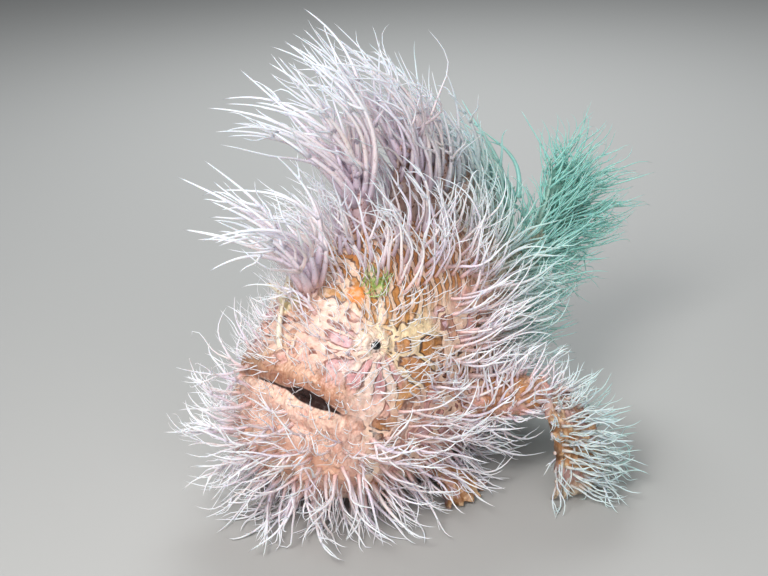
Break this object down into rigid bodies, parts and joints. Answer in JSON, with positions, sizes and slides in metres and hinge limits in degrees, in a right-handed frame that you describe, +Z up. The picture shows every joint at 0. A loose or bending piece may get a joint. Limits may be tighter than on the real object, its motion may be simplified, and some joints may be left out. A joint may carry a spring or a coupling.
{
  "type": "frogfish",
  "caption": "Life-size striated frogfish resting on its belly and limb-like fins, its body and fins covered in long tapered skin filaments.",
  "frame": {"origin": "on the floor, in the middle of the flat under the belly", "axes": "+X towards the snout, +Y towards the fish's left side, +Z up"},
  "size_m": [0.193, 0.1579, 0.1547],
  "materials": {
    "skin": "soft wet skin, cream and pink with amber patches and thin dark bars",
    "limb": "soft wet skin with amber patches",
    "fin": "thin skin over soft rays",
    "tail_fin": "thin skin over soft rays",
    "spine": "soft speckled skin over a free spine",
    "eye": "clear wet eye"
  },
  "bodies": {
    "root": {"head": "skin", "jaw": "skin", "torso": "skin", "tail": "skin", "eye_left": "eye", "eye_right": "eye", "dorsal_spine_1": "spine", "dorsal_spine_2": "spine", "dorsal_spine_3": "spine", "dorsal_fin": "fin", "anal_fin": "fin", "caudal_fin": "tail_fin", "pectoral_arm_left": "limb", "pectoral_fin_left": "fin", "pelvic_leg_left": "limb", "pelvic_fin_left": "fin", "pectoral_arm_right": "limb", "pectoral_fin_right": "fin", "pelvic_leg_right": "limb", "pelvic_fin_right": "fin"}
  },
  "joints": []
}
